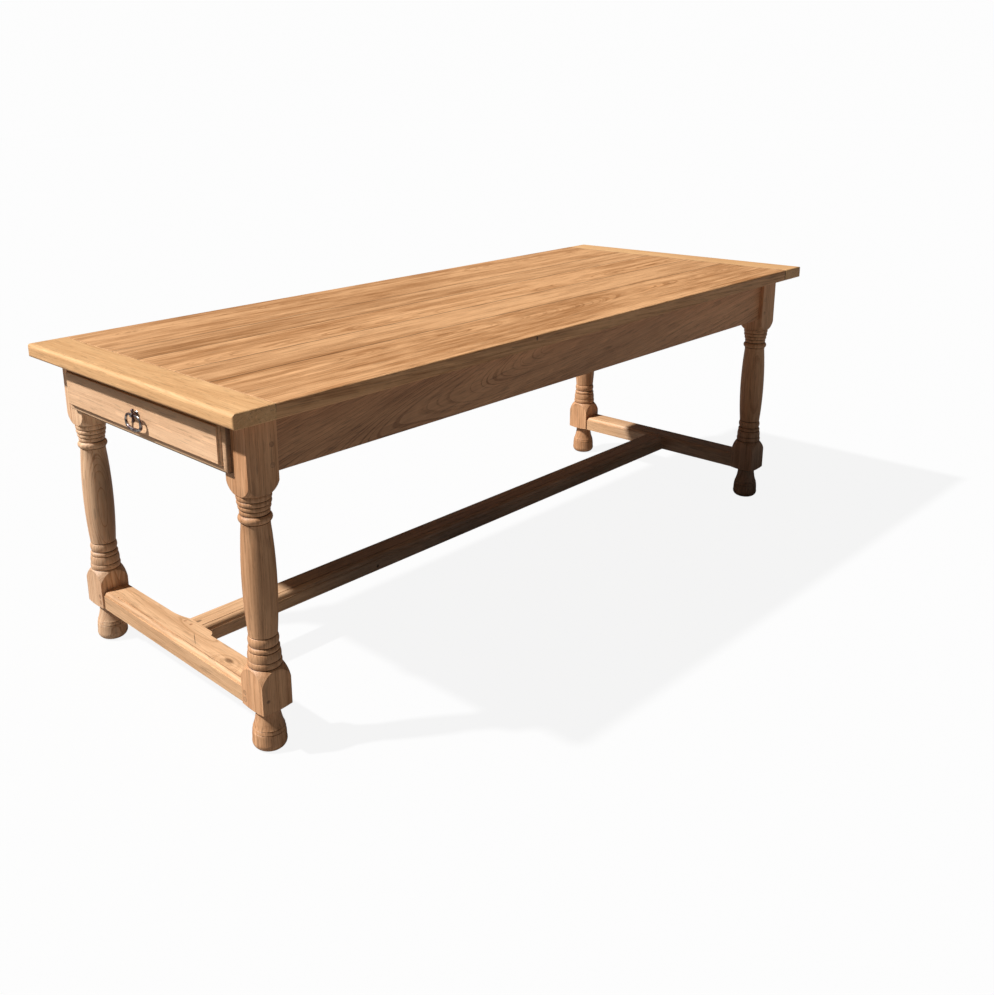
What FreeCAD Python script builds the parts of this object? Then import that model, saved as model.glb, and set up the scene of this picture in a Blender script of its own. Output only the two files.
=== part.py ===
import FreeCAD, Part
import math
import os

# Farmhouse table with turned legs, an H stretcher, a breadboard top and one drawer in its end.
# X runs along the table with the drawer at the -X end, Y across it, Z up.
# The origin is on the floor under the middle of the top. Lengths are in millimetres.
# Left is +Y and right is -Y, as seen by a person who stands at the drawer end.

# Overall sizes
table_length = 2134.0
table_width = 840.0
table_height = 760.0
top_thickness = 32.0
end_overhang = 56.0
side_overhang = 50.0

# Top: breadboard ends, tongues and rounded edges
breadboard_width = 96.0
tongue_length = 20.0
tongue_thickness = 10.0
tongue_stop = 30.0
groove_play = 2.0
end_round_upper = 9.0
end_round_lower = 6.0
side_round_upper = 4.0
side_round_lower = 3.0
corner_round = 5.0
shoulder_gap = 3.5
shoulder_gap_reach = 45.0
board_joint_shares = (0.462, 0.190, -0.174, -0.476)
board_arris = 0.5
breadboard_arris = 1.0

# Legs: square stock, turned between a lower and an upper block. The shaft takes up the rest of the height.
leg_square = 74.0
foot_height = 95.0
lower_block_height = 93.0
lower_rings_height = 73.0
upper_rings_height = 64.0
upper_block_height = 163.0
lower_shoulder_height = 35.0
upper_shoulder_height = 31.0
under_shoulder_height = 4.0

# Turned outlines, from the floor up. Radii are shares of half the square, heights are shares of the stretch.
# A pair ends a straight run. Four values are the middle and the end of an arc.
foot_shares = (
    (0.62, 0.0),
    (0.90, 0.075, 0.985, 0.29),
    (0.955, 0.415, 0.895, 0.565),
    (0.79, 0.735, 0.70, 0.985),
)
lower_rings_shares = (
    (0.975, 0.08, 0.93, 0.175),
    (0.94, 0.20),
    (0.905, 0.45),
    (0.865, 0.47),
    (0.89, 0.555, 0.82, 0.66),
    (0.80, 0.72),
    (0.87, 0.88, 0.815, 0.985),
    (0.81, 1.0),
)
shaft_shares = ((0.962, 0.5, 0.80, 1.0),)
upper_rings_shares = (
    (0.905, 0.20, 0.80, 0.36),
    (0.785, 0.41, 0.835, 0.50),
    (0.875, 0.57, 0.855, 0.63),
    (0.918, 0.70, 0.89, 0.785),
    (0.965, 0.88, 0.93, 0.985),
    (1.0, 1.0),
)
# Middles of the turned shoulders on the two blocks: shares of the swell and of the shoulder's height
lower_shoulder_shares = (0.60, 0.62)
upper_shoulder_shares = (0.66, 0.55)
# Radius at which the lower block's shoulder meets the rings
shoulder_neck_share = 0.955
# How far the turning blank's radius stands outside the corners of the square
blank_share = 1.02

# Aprons
apron_height = 126.0
apron_thickness = 25.0
apron_recess = 12.0
tenon_thickness = 12.0
tenon_length = 40.0
tenon_shoulder = 10.0
mortise_play = 1.5

# Wooden pegs
peg_radius = 4.5
peg_clearance = 0.1
peg_inset = 14.0
apron_peg_length = 36.0
apron_peg_drop_upper = 64.0
apron_peg_pitch = 42.0

# H stretcher
stretcher_width = 65.0
stretcher_bottom = 97.0
end_stretcher_depth = 45.0
long_stretcher_width = 62.0
long_stretcher_depth = 41.0
stretcher_tenon_thickness = 14.0
stretcher_tenon_length = 45.0
stretcher_tenon_shoulder = 6.0
moulding_radius = 9.0
moulding_step = 2.0
quirk_width = 2.0
quirk_depth = 2.5
quirk_stop = 51.0
long_moulding_radius = 12.0
stretcher_peg_radius = 4.0
stretcher_peg_inset = 11.0
stretcher_peg_pitch = 16.0
stretcher_peg_length = 52.0
middle_peg_inset = 15.0
middle_peg_pitch = 24.0
middle_peg_offset = 10.0
middle_peg_length = 36.0

# Pad on the drawer end stretcher, where the long stretcher enters it
pad_depth = 11.5
pad_left = 82.0
pad_left_flat = 23.0
pad_right_flat = 60.0
pad_right = 79.0
pad_sweep_share = 0.28
pad_step_share = 0.82

# Drawer rail and runners
rail_thickness = 20.0
rail_setback = 3.0
rail_tenon_thickness = 12.0
rail_tenon_width = 40.0
rail_tenon_inset = 8.0
runner_reach = 24.0
runner_ledge = 16.0
runner_guide_height = 28.0

# Buttons that hold the top
button_width = 30.0
button_length = 42.0
button_thickness = 20.0
button_tongue_length = 8.0
button_tongue_thickness = 8.0
side_button_shares = (-0.5, 0.0, 0.5, 0.9)
far_button_shares = (-0.36, 0.36)

# Countersunk wood screws of the buttons
screw_radius = 2.2
screw_head_radius = 4.5
screw_head_height = 3.0
screw_length = 32.0

# Cut nails with square shanks and flat heads
nail_square = 2.4
nail_head_width = 5.0
nail_head_height = 1.2
runner_nail_length = 50.0
runner_nail_shares = (0.12, 0.5, 0.88)
drawer_nail_length = 26.0
drawer_nail_shares = (-0.8, 0.0, 0.8)

# Drawer
drawer_length = 430.0
running_gap = 0.3
side_gap = 1.0
head_gap = 6.0
lip_overlap = 26.0
lip_drop = 12.0
lip_thickness = 13.0
lip_head_gap = 4.0
border_width = 20.0
field_height = 21.5
front_inset = 14.0
drawer_wall = 12.0
tail_length = 11.0
tail_count = 3
tail_share = 0.30
tail_slope = 0.16
panel_thickness = 8.0
panel_groove = 5.0
panel_rise = 10.0

# Section of the moulded border, from its outer edge to the field: shares of border_width and of field_height
border_shares = (
    (0.0, 0.53),
    (0.03, 0.585, 0.10, 0.605),
    (0.25, 0.605),
    (0.25, 0.56),
    (0.29, 0.56),
    (0.29, 0.60),
    (0.465, 0.765, 0.64, 0.60),
    (0.64, 0.57),
    (0.69, 0.57),
    (0.69, 0.60),
    (0.90, 0.70, 0.97, 0.93),
    (1.0, 0.93),
    (1.0, 1.0),
    (1.0, 0.0),
)

# Ring pull
pull_rise = 1.0
pull_offset = 10.0
plate_radius = 9.0
plate_thickness = 3.0
plate_bevel = 1.2
post_radius = 4.0
knuckle_radius = 6.0
knuckle_width = 9.0
knuckle_standoff = 10.0
finial_neck_radius = 2.5
finial_radius = 4.0
finial_rise = 10.5
drop_radius = 3.4
drop_reach = 12.0
stem_radius = 2.5
stem_clearance = 0.1
nut_width = 10.0
nut_thickness = 4.0
stem_end = 2.0
ring_wire_radius = 2.9
ring_width = 62.0
ring_drop = 31.0
ring_end_radius = 14.5
ring_running_clearance = 0.08

# Cutting tools run past the wood by this much
overrun = 5.0

# Places that follow from the sizes
half_length = table_length / 2
half_width = table_width / 2
half_square = leg_square / 2
frame_top = table_height - top_thickness
block_face_x = half_length - end_overhang
block_face_y = half_width - side_overhang
leg_x = block_face_x - half_square
leg_y = block_face_y - half_square
leg_inner_x = block_face_x - leg_square
leg_inner_y = block_face_y - leg_square
apron_bottom = frame_top - apron_height
apron_face_x = block_face_x - apron_recess
apron_face_y = block_face_y - apron_recess
apron_back_x = apron_face_x - apron_thickness
apron_back_y = apron_face_y - apron_thickness
tenon_low = apron_bottom + tenon_shoulder
tenon_high = frame_top - tenon_shoulder
board_end = half_length - breadboard_width
board_joints = [share * half_width for share in board_joint_shares]
tongue_low = frame_top + (top_thickness - tongue_thickness) / 2
tongue_high = tongue_low + tongue_thickness
rail_top = apron_bottom + rail_thickness
rail_front = -block_face_x + rail_setback
rail_back = -leg_inner_x
end_stretcher_top = stretcher_bottom + end_stretcher_depth
long_stretcher_top = stretcher_bottom + long_stretcher_depth
stretcher_back = leg_x - stretcher_width / 2
lip_back = -block_face_x - running_gap
field_face = lip_back - field_height
front_back = lip_back + front_inset
drawer_rear = lip_back + drawer_length
runner_rear = drawer_rear + runner_reach
drawer_half = leg_inner_y - side_gap
drawer_bottom_z = rail_top + running_gap
drawer_top_z = frame_top - head_gap
lip_half = leg_inner_y + lip_overlap
lip_low = rail_top - lip_drop
lip_high = frame_top - lip_head_gap
panel_low = drawer_bottom_z + panel_rise
panel_high = panel_low + panel_thickness
eye_x = field_face - knuckle_standoff
pull_y = -pull_offset
pull_height = (lip_low + lip_high) / 2 + pull_rise

X = FreeCAD.Vector(1, 0, 0)
Y = FreeCAD.Vector(0, 1, 0)
Z = FreeCAD.Vector(0, 0, 1)


def point(x, y, z):
    return FreeCAD.Vector(x, y, z)


def box(x0, x1, y0, y1, z0, z1):
    """A block between two corners, given in either order."""
    low = point(min(x0, x1), min(y0, y1), min(z0, z1))
    return Part.makeBox(abs(x1 - x0), abs(y1 - y0), abs(z1 - z0), low)


def fused(shapes):
    """One solid from shapes that touch, without the seams between coplanar faces."""
    return shapes[0].multiFuse(list(shapes[1:])).removeSplitter()


def chain(start, steps, place):
    """Edges from a start through steps: a pair ends a straight run, four values are an arc's middle and end."""
    edges = []
    here = place(*start)
    for step in steps:
        end = place(*step[-2:])
        if len(step) == 2:
            edges.append(Part.LineSegment(here, end).toShape())
        else:
            edges.append(Part.Arc(here, place(*step[:2]), end).toShape())
        here = end
    return edges


def closed_face(start, steps, place):
    """A flat face inside a closed chain that ends back at its start."""
    return Part.Face(Part.Wire(chain(start, steps, place)))


def scaled(shares, across, up, base):
    """Steps in real sizes from shares of a width and of a height that starts at base."""
    steps = []
    for row in shares:
        steps.append(tuple(base + share * up if i % 2 else share * across for i, share in enumerate(row)))
    return steps


def rounded_prism(a0, a1, b0, b1, low_round, high_round, place, sweep):
    """A rectangle in a and b with its lower and upper corners rounded, swept along a direction."""
    low_mid = low_round * (1 - math.sqrt(0.5))
    high_mid = high_round * (1 - math.sqrt(0.5))
    steps = (
        (a1 - low_round, b0),
        (a1 - low_mid, b0 + low_mid, a1, b0 + low_round),
        (a1, b1 - high_round),
        (a1 - high_mid, b1 - high_mid, a1 - high_round, b1),
        (a0 + high_round, b1),
        (a0 + high_mid, b1 - high_mid, a0, b1 - high_round),
        (a0, b0 + low_round),
        (a0 + low_mid, b0 + low_mid, a0 + low_round, b0),
    )
    return closed_face((a0 + low_round, b0), steps, place).extrude(sweep)


def screw(tip, direction):
    """A countersunk wood screw whose point is at tip and whose head lies along direction."""
    neck = screw_length - screw_head_height
    shank = Part.makeCylinder(screw_radius, neck, tip, direction)
    head = Part.makeCone(screw_radius, screw_head_radius, screw_head_height, tip + direction * neck, direction)
    return fused([shank, head])


def nails(places, length):
    """Cut nails whose heads start at each place and whose shanks run along its direction."""
    half = nail_square / 2
    edge = nail_head_width / 2
    head = box(-edge, edge, -half, half, 0, nail_head_height)
    shank = box(-half, half, -half, half, 0, length)
    nail = fused([head, shank])
    solids = []
    for start, way in places:
        copy = nail.copy()
        copy.Placement = FreeCAD.Placement(start, FreeCAD.Rotation(Z, way))
        solids.append(copy)
    return solids


# Top

def top_slab():
    """The whole top as one slab, with its ends rounded over and its long edges eased."""
    plan = rounded_prism(-half_length, half_length, -half_width, half_width, corner_round, corner_round,
                         lambda x, y: point(x, y, frame_top), Z * top_thickness)
    ends = rounded_prism(-half_length, half_length, frame_top, table_height, end_round_lower, end_round_upper,
                         lambda x, z: point(x, -half_width, z), Y * table_width)
    sides = rounded_prism(-half_width, half_width, frame_top, table_height, side_round_lower, side_round_upper,
                          lambda y, z: point(-half_length, y, z), X * table_length)
    slab = plan.common(ends).common(sides)
    grooves = [joint_groove(point(-board_end, y, table_height), X * (board_end * 2), Y, board_arris)
               for y in board_joints]
    for x in (-board_end, board_end):
        start = point(x, -half_width - overrun, table_height)
        grooves.append(joint_groove(start, Y * (table_width + overrun * 2), X, breadboard_arris))
    return slab.cut(grooves)


def joint_groove(start, along, across, arris):
    """The groove left by the eased arrises on both sides of a joint in the top."""
    wide = across * (arris + overrun)
    over = Z * overrun
    outline = [start - Z * arris, start - wide + over, start + wide + over, start - Z * arris]
    return Part.Face(Part.makePolygon(outline)).extrude(along)


def shoulder_wedge():
    """The thin open wedge at the far right, where the last board has drawn back from the breadboard."""
    steps = (
        (board_end, -half_width - overrun),
        (board_end, -half_width + shoulder_gap_reach),
        (board_end - shoulder_gap, -half_width - overrun),
    )
    face = closed_face(steps[-1], steps, lambda x, y: point(x, y, frame_top - overrun))
    return face.extrude(Z * (top_thickness + overrun * 2))


def top_boards(slab):
    """Lengthwise boards, edge to edge, each with a tongue on both ends."""
    joints = [half_width] + board_joints + [-half_width]
    tongue_edge = half_width - tongue_stop
    boards = []
    for left, right in zip(joints[:-1], joints[1:]):
        body = slab.common(box(-board_end, board_end, right, left, frame_top, table_height))
        reach = board_end + tongue_length
        tongue = box(-reach, reach, max(right, -tongue_edge), min(left, tongue_edge), tongue_low, tongue_high)
        boards.append(fused([body, tongue]))
    boards[-1] = boards[-1].cut(shoulder_wedge())
    return boards


def breadboard(slab, end):
    """A cross board with a stopped groove for the tongues. End is -1 at the drawer, 1 at the far end."""
    body = slab.common(box(end * board_end, end * half_length, -half_width, half_width, frame_top, table_height))
    tongue_edge = half_width - tongue_stop
    reach = board_end + tongue_length + groove_play
    groove = box(end * board_end, end * reach, -tongue_edge, tongue_edge, tongue_low, tongue_high)
    return body.cut(groove)


# Legs

def turned_leg():
    """One leg on its own axis: the turned outline, cut square where the blocks are."""
    blank = half_square * math.sqrt(2) * blank_share
    swell = blank - half_square
    block_top = foot_height + lower_block_height
    upper_start = frame_top - upper_block_height
    shaft_start = block_top + lower_rings_height
    shaft_height = upper_start - upper_rings_height - shaft_start
    lower_in, lower_up = lower_shoulder_shares
    upper_in, upper_up = upper_shoulder_shares
    foot = scaled(foot_shares, half_square, foot_height, 0)
    steps = list(foot)
    steps.append((blank, foot_height + under_shoulder_height))
    steps.append((blank, block_top - lower_shoulder_height))
    steps.append((half_square + swell * lower_in, block_top - lower_shoulder_height * (1 - lower_up),
                  half_square * shoulder_neck_share, block_top))
    steps += scaled(lower_rings_shares, half_square, lower_rings_height, block_top)
    steps += scaled(shaft_shares, half_square, shaft_height, shaft_start)
    steps += scaled(upper_rings_shares, half_square, upper_rings_height, upper_start - upper_rings_height)
    steps.append((half_square + swell * upper_in, upper_start + upper_shoulder_height * (1 - upper_up),
                  blank, upper_start + upper_shoulder_height))
    steps.append((blank, frame_top))
    steps.append((0, frame_top))
    steps.append((0, 0))
    turning = closed_face((0, 0), steps, lambda r, z: point(r, 0, z)).revolve(point(0, 0, 0), Z, 360)
    square = box(-half_square, half_square, -half_square, half_square, 0, frame_top)
    return turning.common(square)


def side_tenon(end, side, play):
    """Tenon of a side apron, which enters the leg at end and side."""
    outer = apron_face_y - (apron_thickness - tenon_thickness) / 2
    return box(end * leg_inner_x, end * (leg_inner_x + tenon_length + play),
               side * outer, side * (outer - tenon_thickness), tenon_low, tenon_high)


def far_tenon(side, play):
    """Tenon of the far apron."""
    outer = apron_face_x - (apron_thickness - tenon_thickness) / 2
    return box(outer, outer - tenon_thickness, side * leg_inner_y, side * (leg_inner_y + tenon_length + play),
               tenon_low, tenon_high)


def rail_tenon(side, play):
    """Flat tenon of the drawer rail."""
    front = rail_front + rail_tenon_inset
    low = apron_bottom + (rail_thickness - rail_tenon_thickness) / 2
    return box(front, front + rail_tenon_width, side * leg_inner_y, side * (leg_inner_y + tenon_length + play),
               low, low + rail_tenon_thickness)


def stretcher_tenon(end, side, play):
    """Upright tenon of an end stretcher."""
    half = stretcher_tenon_thickness / 2
    return box(end * leg_x - half, end * leg_x + half, side * leg_inner_y,
               side * (leg_inner_y + stretcher_tenon_length + play),
               stretcher_bottom + stretcher_tenon_shoulder, end_stretcher_top - stretcher_tenon_shoulder)


def apron_peg_places():
    """Outer end and inward direction of each peg through the apron tenons."""
    heights = (frame_top - apron_peg_drop_upper, frame_top - apron_peg_drop_upper - apron_peg_pitch)
    places = []
    for z in heights:
        for side in (-1, 1):
            for end in (-1, 1):
                places.append((point(end * (leg_inner_x + peg_inset), side * block_face_y, z), Y * -side))
            places.append((point(block_face_x, side * (leg_inner_y + peg_inset), z), X * -1))
    return places


def stretcher_peg_places():
    """Outer end and inward direction of each peg through the end stretchers' tenons."""
    middle = stretcher_bottom + end_stretcher_depth / 2
    places = []
    for z in (middle - stretcher_peg_pitch / 2, middle + stretcher_peg_pitch / 2):
        for side in (-1, 1):
            for end in (-1, 1):
                y = side * (leg_inner_y + stretcher_peg_inset)
                places.append((point(end * block_face_x, y, z), X * -end))
    return places


def middle_peg_places():
    """Upper end and direction of the pegs through the long stretcher's tenons."""
    places = []
    for y in (middle_peg_offset - middle_peg_pitch / 2, middle_peg_offset + middle_peg_pitch / 2):
        places.append((point(-stretcher_back + pad_depth - middle_peg_inset, y, end_stretcher_top), Z * -1))
        places.append((point(stretcher_back + middle_peg_inset, y, end_stretcher_top), Z * -1))
    return places


def pins(places, radius, length):
    """Round pins that start at each place and run along its direction."""
    return [Part.makeCylinder(radius, length, start, way) for start, way in places]


def leg(end, side):
    """A leg in its place, with its mortises and peg holes."""
    body = turned_leg()
    body.translate(point(end * leg_x, side * leg_y, 0))
    cuts = [side_tenon(end, side, mortise_play), stretcher_tenon(end, side, mortise_play)]
    cuts.append(far_tenon(side, mortise_play) if end > 0 else rail_tenon(side, mortise_play))
    cuts += pins(apron_peg_places(), peg_radius + peg_clearance, apron_peg_length)
    cuts += pins(stretcher_peg_places(), stretcher_peg_radius + peg_clearance, stretcher_peg_length)
    return body.cut(cuts)


# Frame between the legs

def side_apron(side):
    board = box(-leg_inner_x, leg_inner_x, side * apron_face_y, side * apron_back_y, apron_bottom, frame_top)
    apron = fused([board, side_tenon(-1, side, 0), side_tenon(1, side, 0)])
    cuts = pins(apron_peg_places(), peg_radius + peg_clearance, apron_peg_length)
    return apron.cut(cuts + button_slots() + runner_nails())


def far_apron():
    board = box(apron_back_x, apron_face_x, -leg_inner_y, leg_inner_y, apron_bottom, frame_top)
    apron = fused([board, far_tenon(-1, 0), far_tenon(1, 0)])
    cuts = pins(apron_peg_places(), peg_radius + peg_clearance, apron_peg_length)
    return apron.cut(cuts + button_slots())


def drawer_rail():
    board = box(rail_front, rail_back, -leg_inner_y, leg_inner_y, apron_bottom, rail_top)
    return fused([board, rail_tenon(-1, 0), rail_tenon(1, 0)])


def drawer_runner(side):
    """A runner with a ledge under the drawer's side and a guide beside it, nailed to the apron."""
    guide_top = rail_top + runner_guide_height
    ledge = box(rail_back, runner_rear, side * (leg_inner_y - runner_ledge), side * apron_back_y, apron_bottom, rail_top)
    guide = box(rail_back, runner_rear, side * leg_inner_y, side * apron_back_y, apron_bottom, guide_top)
    return fused([ledge, guide]).cut(runner_nails())


def runner_nails():
    """Nails through each runner's guide into the apron."""
    places = []
    for side in (-1, 1):
        for share in runner_nail_shares:
            x = rail_back + share * (runner_rear - rail_back)
            places.append((point(x, side * leg_inner_y, rail_top + runner_guide_height / 2), Y * side))
    return nails(places, runner_nail_length)


# H stretcher

def moulded_bar(face, back, top, radius, place, sweep):
    """A bar whose upper face edge has a quarter round above a small step."""
    step = face + moulding_step
    bend = radius * (1 - math.sqrt(0.5))
    steps = (
        (face, top - radius),
        (step, top - radius),
        (step + bend, top - bend, step + radius, top),
        (back, top),
        (back, stretcher_bottom),
        (face, stretcher_bottom),
    )
    return closed_face(steps[-1], steps, place).extrude(sweep)


def end_stretcher(end):
    """A stretcher between two legs, moulded along its -X upper edge."""
    face = end * leg_x - stretcher_width / 2
    back = face + stretcher_width
    bar = moulded_bar(face, back, end_stretcher_top, moulding_radius,
                      lambda x, z: point(x, -leg_inner_y, z), Y * (leg_inner_y * 2))
    pieces = [bar, stretcher_tenon(end, -1, 0), stretcher_tenon(end, 1, 0)]
    if end < 0:
        pieces.append(stretcher_pad(back))
    quirk = face + moulding_step + moulding_radius
    groove = box(quirk, quirk + quirk_width, -leg_inner_y, leg_inner_y - quirk_stop,
                 end_stretcher_top - quirk_depth, end_stretcher_top + overrun)
    cuts = [groove, long_tenon(end, mortise_play)]
    cuts += pins(stretcher_peg_places(), stretcher_peg_radius + peg_clearance, stretcher_peg_length)
    cuts += pins(middle_peg_places(), stretcher_peg_radius + peg_clearance, middle_peg_length)
    return fused(pieces).cut(cuts)


def stretcher_pad(back):
    """The widening behind the middle joint: a long sweep on the left, a short step on the right."""
    crest = back + pad_depth
    sweep_y = (pad_left + pad_left_flat) / 2
    step_y = -(pad_right + pad_right_flat) / 2
    steps = (
        (back, pad_left),
        (back + pad_depth * pad_sweep_share, sweep_y, crest, pad_left_flat),
        (crest, -pad_right_flat),
        (back + pad_depth * pad_step_share, step_y, back, -pad_right),
    )
    face = closed_face((back, -pad_right), steps, lambda x, y: point(x, y, stretcher_bottom))
    return face.extrude(Z * end_stretcher_depth)


def long_tenon(end, play):
    """Flat tenon of the long stretcher into an end stretcher."""
    root = stretcher_back - (pad_depth if end < 0 else 0)
    middle = stretcher_bottom + long_stretcher_depth / 2
    half = stretcher_tenon_thickness / 2
    edge = long_stretcher_width / 2 - stretcher_tenon_shoulder
    return box(end * root, end * (root + stretcher_tenon_length + play), -edge, edge, middle - half, middle + half)


def long_stretcher():
    """The stretcher along the table, moulded along its -Y upper edge."""
    start = -stretcher_back + pad_depth
    face = -long_stretcher_width / 2
    bar = moulded_bar(face, -face, long_stretcher_top, long_moulding_radius,
                      lambda y, z: point(start, y, z), X * (stretcher_back - start))
    quirk = face + moulding_step + long_moulding_radius
    groove = box(start, stretcher_back, quirk, quirk + quirk_width,
                 long_stretcher_top - quirk_depth, long_stretcher_top + overrun)
    whole = fused([bar, long_tenon(-1, 0), long_tenon(1, 0)])
    return whole.cut([groove] + pins(middle_peg_places(), stretcher_peg_radius + peg_clearance, middle_peg_length))


# Buttons under the top

def button_places():
    """Where each button meets an apron's inner face, and the turn that points it at the apron."""
    places = []
    for share in side_button_shares:
        places.append((point(share * leg_inner_x, apron_back_y, frame_top), 90))
        places.append((point(share * leg_inner_x, -apron_back_y, frame_top), -90))
    for share in far_button_shares:
        places.append((point(apron_back_x, share * half_width, frame_top), 0))
    return places


def set_at(shape, place, turn):
    """A copy of a shape, turned about Z and moved to its place."""
    copy = shape.copy()
    copy.rotate(point(0, 0, 0), Z, turn)
    copy.translate(place)
    return copy


def top_buttons():
    """Rebated blocks: the body lies under the top, the tongue sits in the apron's slot."""
    half = button_width / 2
    body = box(-button_length, 0, -half, half, -button_thickness, 0)
    tongue = box(0, button_tongue_length, -half, half, -button_thickness, -button_thickness + button_tongue_thickness)
    button = fused([body, tongue])
    screws = button_screws()
    return [set_at(button, place, turn).cut(screws) for place, turn in button_places()]


def button_slots():
    """Slots in the aprons for the buttons' tongues."""
    half = button_width / 2
    depth = button_tongue_length + mortise_play
    slot = box(-overrun, depth, -half, half, -button_thickness, -button_thickness + button_tongue_thickness)
    return [set_at(slot, place, turn) for place, turn in button_places()]


def button_screws():
    """One screw up through each button into the top."""
    upright = screw(point(-button_length / 2, 0, screw_length - button_thickness), Z * -1)
    return [set_at(upright, place, turn) for place, turn in button_places()]


# Drawer

def border_side(corner, along, inward):
    """One side of the moulded border, mitred at both corners."""
    def place(w, h):
        return corner + inward * w - X * h
    length = along.Length
    unit = FreeCAD.Vector(along).normalize()
    section = scaled(border_shares, border_width, field_height, 0)
    bar = closed_face((0, 0), section + [(0, 0)], place).extrude(along)
    outline = [corner, corner + along, corner + unit * (length - border_width) + inward * border_width,
               corner + unit * border_width + inward * border_width, corner]
    mitre = Part.Face(Part.makePolygon(outline)).extrude(X * -field_height)
    return bar.common(mitre)


def drawer_front():
    """Lipped front: a raised field in a moulded border, with the thickness that enters the opening behind it."""
    low_left = point(lip_back, lip_half, lip_low)
    low_right = point(lip_back, -lip_half, lip_low)
    high_left = point(lip_back, lip_half, lip_high)
    high_right = point(lip_back, -lip_half, lip_high)
    across = low_right - low_left
    up = high_left - low_left
    field = box(lip_back, field_face, -lip_half + border_width, lip_half - border_width,
                lip_low + border_width, lip_high - border_width)
    inner = box(lip_back, front_back, -drawer_half, drawer_half, drawer_bottom_z, drawer_top_z)
    sides = [
        border_side(low_left, across, Z),
        border_side(high_left, across, Z * -1),
        border_side(low_left, up, Y * -1),
        border_side(low_right, up, Y),
    ]
    front = fused([field, inner] + sides)
    stem_hole = Part.makeCylinder(stem_radius + stem_clearance, front_back - field_face,
                                  point(field_face, pull_y, pull_height), X)
    return front.cut([tails(-1), tails(1), drawer_bottom(), stem_hole])


def tails(side):
    """Dovetails on the front end of a drawer side."""
    pitch = (drawer_top_z - drawer_bottom_z) / tail_count
    tip = front_back - tail_length
    shapes = []
    for i in range(tail_count):
        middle = drawer_bottom_z + pitch * (i + 0.5)
        root = pitch * tail_share
        flare = root + tail_length * tail_slope
        steps = (
            (front_back, middle + root),
            (tip, middle + flare),
            (tip, middle - flare),
            (front_back, middle - root),
        )
        face = closed_face(steps[-1], steps, lambda x, z: point(x, side * drawer_half, z))
        shapes.append(face.extrude(Y * (-side * drawer_wall)))
    return Part.makeCompound(shapes)


def drawer_bottom():
    """Panel in grooves of the front and sides, which runs out under the back."""
    edge = drawer_half - drawer_wall + panel_groove
    return box(front_back - panel_groove, drawer_rear, -edge, edge, panel_low, panel_high)


def drawer_back():
    """Back above the panel, with the pins between the sides' rear tails."""
    board = box(drawer_rear - drawer_wall, drawer_rear, -drawer_half, drawer_half, panel_high, drawer_top_z)
    pitch = (drawer_top_z - panel_high) / tail_count
    cuts = []
    for side in (-1, 1):
        for i in range(tail_count):
            middle = panel_high + pitch * (i + 0.5)
            root = pitch * tail_share
            flare = root + drawer_wall * tail_slope
            steps = (
                (drawer_rear - drawer_wall, middle + root),
                (drawer_rear, middle + flare),
                (drawer_rear, middle - flare),
                (drawer_rear - drawer_wall, middle - root),
            )
            face = closed_face(steps[-1], steps, lambda x, z: point(x, side * drawer_half, z))
            cuts.append(face.extrude(Y * (-side * drawer_wall)))
    return board.cut(cuts + drawer_nails())


def drawer_side(side):
    board = box(front_back, drawer_rear, side * drawer_half, side * (drawer_half - drawer_wall),
                drawer_bottom_z, drawer_top_z)
    return fused([board] + tails(side).Solids).cut([drawer_bottom(), drawer_back()])


def drawer_nails():
    """Nails up through the panel into the back."""
    x = drawer_rear - drawer_wall / 2
    places = [(point(x, share * drawer_half, panel_low), Z) for share in drawer_nail_shares]
    return nails(places, drawer_nail_length)


# Ring pull

def pull_plate():
    """Small round plate against the field, bevelled at its front edge."""
    back = point(field_face, pull_y, pull_height)
    shoulder = plate_thickness - plate_bevel
    disc = Part.makeCylinder(plate_radius, shoulder, back, X * -1)
    bevel = Part.makeCone(plate_radius, plate_radius - plate_bevel, plate_bevel, back - X * shoulder, X * -1)
    return fused([disc, bevel]).cut(pull_stem(stem_clearance))


def pull_stem(clearance):
    """The round rod of the pull, from its knuckle through the front to past the nut."""
    length = front_back + nut_thickness + stem_end - eye_x
    return Part.makeCylinder(stem_radius + clearance, length, point(eye_x, pull_y, pull_height), X)


def pull_post():
    """Knuckle with the eye for the ring, its finial and drop, and a neck that seats on the plate."""
    eye = point(eye_x, pull_y, pull_height)
    knuckle = Part.makeCylinder(knuckle_radius, knuckle_width, eye - Y * (knuckle_width / 2), Y)
    neck = Part.makeCylinder(post_radius, knuckle_standoff - plate_thickness, eye, X)
    hole = Part.makeCylinder(ring_wire_radius + ring_running_clearance, knuckle_width,
                             eye - Y * (knuckle_width / 2), Y)
    finial_neck = Part.makeCylinder(finial_neck_radius, finial_rise, eye, Z)
    finial = Part.makeSphere(finial_radius, eye + Z * finial_rise)
    drop_flare = Part.makeCone(finial_neck_radius, drop_radius, drop_reach, eye, Z * -1)
    drop = Part.makeSphere(drop_radius, eye - Z * drop_reach)
    return fused([knuckle, neck, pull_stem(0), finial_neck, finial, drop_flare, drop]).cut(hole)


def pull_nut():
    half = nut_width / 2
    nut = box(front_back, front_back + nut_thickness, pull_y - half, pull_y + half,
              pull_height - half, pull_height + half)
    return nut.cut(pull_stem(stem_clearance))


def ring_arc(centre, start, angle):
    """A stretch of the ring's wire, bent about centre in the plane of the ring."""
    along = X.cross(start - centre).normalize()
    section = Part.Face(Part.Wire(Part.makeCircle(ring_wire_radius, start, along)))
    return section.revolve(centre, X, angle)


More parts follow.
